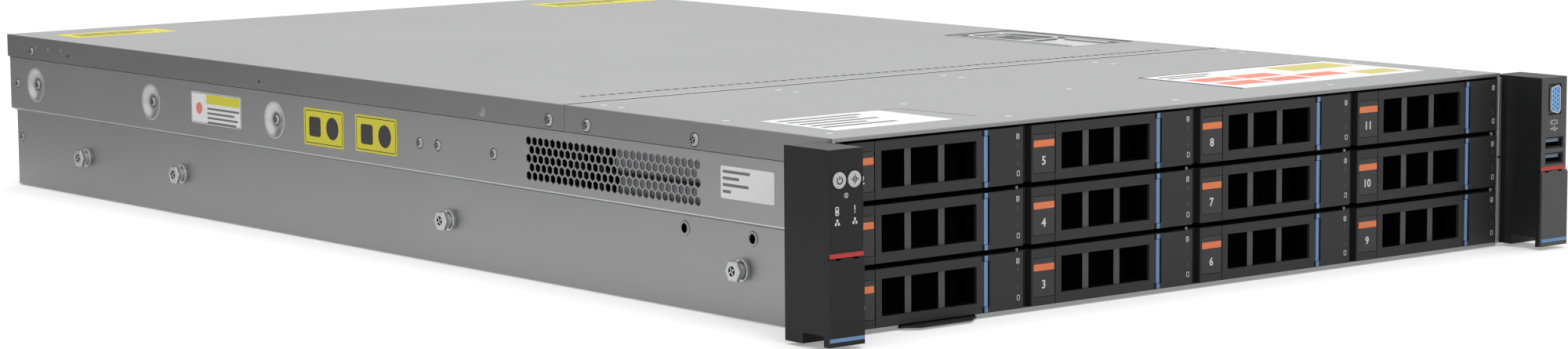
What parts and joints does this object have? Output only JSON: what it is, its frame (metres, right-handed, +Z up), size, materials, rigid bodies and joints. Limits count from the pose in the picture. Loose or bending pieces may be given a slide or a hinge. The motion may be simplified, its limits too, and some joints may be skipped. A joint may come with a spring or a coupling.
{
  "type": "2u rack server",
  "caption": "Flat rack server with hot-swap drive bays across the front, hinged bay handles, rack ears with latch flaps, side vents and a lift-off top cover.",
  "frame": {"origin": "middle of the underside, half a chassis length behind the front plane", "axes": "+X across the rack to the viewer's right from the front, -Y out of the front, +Z up"},
  "size_m": [0.4842, 0.7933, 0.0875],
  "materials": {
    "zinc_steel": "satin zinc-plated sheet",
    "stud_steel": "bright nickel",
    "psu_steel": "satin",
    "circuit_board_green": "solder mask",
    "carrier_plastic": "fine texture",
    "handle_plastic": "fine texture",
    "ear_plastic": "fine texture",
    "button_silver": "satin silver",
    "fan_plastic": "moulded"
  },
  "bodies": {
    "chassis": {"base_pan": "zinc_steel", "side_walls": "zinc_steel", "front_cover": "zinc_steel", "rear_panel": "zinc_steel", "drive_cage": "zinc_steel", "backplane": "circuit_board_green", "ear_left": "ear_plastic", "ear_right": "ear_plastic", "rail_studs": "stud_steel", "fan_frames": "fan_plastic", "mainboard": "circuit_board_green"},
    "carrier_0": {"drive_carrier_0": "carrier_plastic"},
    "handle_0": {"carrier_handle_0": "handle_plastic"},
    "release_0": {"release_button_0": "handle_plastic"},
    "carrier_1": {"drive_carrier_1": "carrier_plastic"},
    "handle_1": {"carrier_handle_1": "handle_plastic"},
    "release_1": {"release_button_1": "handle_plastic"},
    "carrier_2": {"drive_carrier_2": "carrier_plastic"},
    "handle_2": {"carrier_handle_2": "handle_plastic"},
    "release_2": {"release_button_2": "handle_plastic"},
    "carrier_3": {"drive_carrier_3": "carrier_plastic"},
    "handle_3": {"carrier_handle_3": "handle_plastic"},
    "release_3": {"release_button_3": "handle_plastic"},
    "carrier_4": {"drive_carrier_4": "carrier_plastic"},
    "handle_4": {"carrier_handle_4": "handle_plastic"},
    "release_4": {"release_button_4": "handle_plastic"},
    "carrier_5": {"drive_carrier_5": "carrier_plastic"},
    "handle_5": {"carrier_handle_5": "handle_plastic"},
    "release_5": {"release_button_5": "handle_plastic"},
    "carrier_6": {"drive_carrier_6": "carrier_plastic"},
    "handle_6": {"carrier_handle_6": "handle_plastic"},
    "release_6": {"release_button_6": "handle_plastic"},
    "carrier_7": {"drive_carrier_7": "carrier_plastic"},
    "handle_7": {"carrier_handle_7": "handle_plastic"},
    "release_7": {"release_button_7": "handle_plastic"},
    "carrier_8": {"drive_carrier_8": "carrier_plastic"},
    "handle_8": {"carrier_handle_8": "handle_plastic"},
    "release_8": {"release_button_8": "handle_plastic"},
    "carrier_9": {"drive_carrier_9": "carrier_plastic"},
    "handle_9": {"carrier_handle_9": "handle_plastic"},
    "release_9": {"release_button_9": "handle_plastic"},
    "carrier_10": {"drive_carrier_10": "carrier_plastic"},
    "handle_10": {"carrier_handle_10": "handle_plastic"},
    "release_10": {"release_button_10": "handle_plastic"},
    "carrier_11": {"drive_carrier_11": "carrier_plastic"},
    "handle_11": {"carrier_handle_11": "handle_plastic"},
    "release_11": {"release_button_11": "handle_plastic"},
    "latch_flap_left": {"ear_latch_left": "ear_plastic"},
    "latch_flap_right": {"ear_latch_right": "ear_plastic"},
    "power_button": {"power_button": "button_silver"},
    "identify_button": {"identify_button": "button_silver"},
    "tag": {"info_tag": "ear_plastic"},
    "cover": {"top_cover": "zinc_steel"},
    "cover_latch": {"cover_latch": "zinc_steel"},
    "psu_0": {"psu_0": "psu_steel"},
    "psu_1": {"psu_1": "psu_steel"},
    "rotor_0": {"fan_rotor_0": "fan_plastic"},
    "rotor_1": {"fan_rotor_1": "fan_plastic"},
    "rotor_2": {"fan_rotor_2": "fan_plastic"},
    "rotor_3": {"fan_rotor_3": "fan_plastic"}
  },
  "joints": [
    {"name": "carrier_slide_0", "type": "slide", "parent": "chassis", "child": "carrier_0", "axis": [0, -1, 0], "range_m": [0, 0.17]},
    {"name": "handle_hinge_0", "type": "hinge", "parent": "carrier_0", "child": "handle_0", "pos_m": [-0.1293, -0.37075, 0.0149], "axis": [0, 0, 1], "range_deg": [0, 70]},
    {"name": "release_press_0", "type": "slide", "parent": "carrier_0", "child": "release_0", "axis": [0, 1, 0], "range_m": [0, 0.0018], "stiffness_N_per_m": 400},
    {"name": "carrier_slide_1", "type": "slide", "parent": "chassis", "child": "carrier_1", "axis": [0, -1, 0], "range_m": [0, 0.17]},
    {"name": "handle_hinge_1", "type": "hinge", "parent": "carrier_1", "child": "handle_1", "pos_m": [-0.1293, -0.37075, 0.04324], "axis": [0, 0, 1], "range_deg": [0, 70]},
    {"name": "release_press_1", "type": "slide", "parent": "carrier_1", "child": "release_1", "axis": [0, 1, 0], "range_m": [0, 0.0018], "stiffness_N_per_m": 400},
    {"name": "carrier_slide_2", "type": "slide", "parent": "chassis", "child": "carrier_2", "axis": [0, -1, 0], "range_m": [0, 0.17]},
    {"name": "handle_hinge_2", "type": "hinge", "parent": "carrier_2", "child": "handle_2", "pos_m": [-0.1293, -0.37075, 0.07158], "axis": [0, 0, 1], "range_deg": [0, 70]},
    {"name": "release_press_2", "type": "slide", "parent": "carrier_2", "child": "release_2", "axis": [0, 1, 0], "range_m": [0, 0.0018], "stiffness_N_per_m": 400},
    {"name": "carrier_slide_3", "type": "slide", "parent": "chassis", "child": "carrier_3", "axis": [0, -1, 0], "range_m": [0, 0.17]},
    {"name": "handle_hinge_3", "type": "hinge", "parent": "carrier_3", "child": "handle_3", "pos_m": [-0.0213, -0.37075, 0.0149], "axis": [0, 0, 1], "range_deg": [0, 70]},
    {"name": "release_press_3", "type": "slide", "parent": "carrier_3", "child": "release_3", "axis": [0, 1, 0], "range_m": [0, 0.0018], "stiffness_N_per_m": 400},
    {"name": "carrier_slide_4", "type": "slide", "parent": "chassis", "child": "carrier_4", "axis": [0, -1, 0], "range_m": [0, 0.17]},
    {"name": "handle_hinge_4", "type": "hinge", "parent": "carrier_4", "child": "handle_4", "pos_m": [-0.0213, -0.37075, 0.04324], "axis": [0, 0, 1], "range_deg": [0, 70]},
    {"name": "release_press_4", "type": "slide", "parent": "carrier_4", "child": "release_4", "axis": [0, 1, 0], "range_m": [0, 0.0018], "stiffness_N_per_m": 400},
    {"name": "carrier_slide_5", "type": "slide", "parent": "chassis", "child": "carrier_5", "axis": [0, -1, 0], "range_m": [0, 0.17]},
    {"name": "handle_hinge_5", "type": "hinge", "parent": "carrier_5", "child": "handle_5", "pos_m": [-0.0213, -0.37075, 0.07158], "axis": [0, 0, 1], "range_deg": [0, 70]},
    {"name": "release_press_5", "type": "slide", "parent": "carrier_5", "child": "release_5", "axis": [0, 1, 0], "range_m": [0, 0.0018], "stiffness_N_per_m": 400},
    {"name": "carrier_slide_6", "type": "slide", "parent": "chassis", "child": "carrier_6", "axis": [0, -1, 0], "range_m": [0, 0.17]},
    {"name": "handle_hinge_6", "type": "hinge", "parent": "carrier_6", "child": "handle_6", "pos_m": [0.0867, -0.37075, 0.0149], "axis": [0, 0, 1], "range_deg": [0, 70]},
    {"name": "release_press_6", "type": "slide", "parent": "carrier_6", "child": "release_6", "axis": [0, 1, 0], "range_m": [0, 0.0018], "stiffness_N_per_m": 400},
    {"name": "carrier_slide_7", "type": "slide", "parent": "chassis", "child": "carrier_7", "axis": [0, -1, 0], "range_m": [0, 0.17]},
    {"name": "handle_hinge_7", "type": "hinge", "parent": "carrier_7", "child": "handle_7", "pos_m": [0.0867, -0.37075, 0.04324], "axis": [0, 0, 1], "range_deg": [0, 70]},
    {"name": "release_press_7", "type": "slide", "parent": "carrier_7", "child": "release_7", "axis": [0, 1, 0], "range_m": [0, 0.0018], "stiffness_N_per_m": 400},
    {"name": "carrier_slide_8", "type": "slide", "parent": "chassis", "child": "carrier_8", "axis": [0, -1, 0], "range_m": [0, 0.17]},
    {"name": "handle_hinge_8", "type": "hinge", "parent": "carrier_8", "child": "handle_8", "pos_m": [0.0867, -0.37075, 0.07158], "axis": [0, 0, 1], "range_deg": [0, 70]},
    {"name": "release_press_8", "type": "slide", "parent": "carrier_8", "child": "release_8", "axis": [0, 1, 0], "range_m": [0, 0.0018], "stiffness_N_per_m": 400},
    {"name": "carrier_slide_9", "type": "slide", "parent": "chassis", "child": "carrier_9", "axis": [0, -1, 0], "range_m": [0, 0.17]},
    {"name": "handle_hinge_9", "type": "hinge", "parent": "carrier_9", "child": "handle_9", "pos_m": [0.1947, -0.37075, 0.0149], "axis": [0, 0, 1], "range_deg": [0, 70]},
    {"name": "release_press_9", "type": "slide", "parent": "carrier_9", "child": "release_9", "axis": [0, 1, 0], "range_m": [0, 0.0018], "stiffness_N_per_m": 400},
    {"name": "carrier_slide_10", "type": "slide", "parent": "chassis", "child": "carrier_10", "axis": [0, -1, 0], "range_m": [0, 0.17]},
    {"name": "handle_hinge_10", "type": "hinge", "parent": "carrier_10", "child": "handle_10", "pos_m": [0.1947, -0.37075, 0.04324], "axis": [0, 0, 1], "range_deg": [0, 70]},
    {"name": "release_press_10", "type": "slide", "parent": "carrier_10", "child": "release_10", "axis": [0, 1, 0], "range_m": [0, 0.0018], "stiffness_N_per_m": 400},
    {"name": "carrier_slide_11", "type": "slide", "parent": "chassis", "child": "carrier_11", "axis": [0, -1, 0], "range_m": [0, 0.17]},
    {"name": "handle_hinge_11", "type": "hinge", "parent": "carrier_11", "child": "handle_11", "pos_m": [0.1947, -0.37075, 0.07158], "axis": [0, 0, 1], "range_deg": [0, 70]},
    {"name": "release_press_11", "type": "slide", "parent": "carrier_11", "child": "release_11", "axis": [0, 1, 0], "range_m": [0, 0.0018], "stiffness_N_per_m": 400},
    {"name": "ear_latch_left_hinge", "type": "hinge", "parent": "chassis", "child": "latch_flap_left", "pos_m": [-0.2317, -0.3969, 0.038], "axis": [-1, 0, 0], "range_deg": [0, 60]},
    {"name": "ear_latch_right_hinge", "type": "hinge", "parent": "chassis", "child": "latch_flap_right", "pos_m": [0.2317, -0.3969, 0.038], "axis": [-1, 0, 0], "range_deg": [0, 60]},
    {"name": "power_button_press", "type": "slide", "parent": "chassis", "child": "power_button", "axis": [0, 1, 0], "range_m": [0, 0.001], "stiffness_N_per_m": 400},
    {"name": "identify_button_press", "type": "slide", "parent": "chassis", "child": "identify_button", "axis": [0, 1, 0], "range_m": [0, 0.001], "stiffness_N_per_m": 400},
    {"name": "info_tag_slide", "type": "slide", "parent": "chassis", "child": "tag", "axis": [0, -1, 0], "range_m": [0, 0.055]},
    {"name": "top_cover_lift", "type": "slide", "parent": "chassis", "child": "cover", "axis": [0, 0, 1], "range_m": [0, 0.12]},
    {"name": "cover_latch_hinge", "type": "hinge", "parent": "cover", "child": "cover_latch", "pos_m": [0.19, -0.10775, 0.0843], "axis": [1, 0, 0], "range_deg": [0, 75]},
    {"name": "psu_slide_0", "type": "slide", "parent": "chassis", "child": "psu_0", "axis": [0, 1, 0], "range_m": [0, 0.19]},
    {"name": "psu_slide_1", "type": "slide", "parent": "chassis", "child": "psu_1", "axis": [0, 1, 0], "range_m": [0, 0.19]},
    {"name": "fan_spin_0", "type": "hinge", "parent": "chassis", "child": "rotor_0", "pos_m": [-0.156, -0.14275, 0.042], "axis": [0, 1, 0], "continuous": true},
    {"name": "fan_spin_1", "type": "hinge", "parent": "chassis", "child": "rotor_1", "pos_m": [-0.052, -0.14275, 0.042], "axis": [0, 1, 0], "continuous": true},
    {"name": "fan_spin_2", "type": "hinge", "parent": "chassis", "child": "rotor_2", "pos_m": [0.052, -0.14275, 0.042], "axis": [0, 1, 0], "continuous": true},
    {"name": "fan_spin_3", "type": "hinge", "parent": "chassis", "child": "rotor_3", "pos_m": [0.156, -0.14275, 0.042], "axis": [0, 1, 0], "continuous": true}
  ]
}
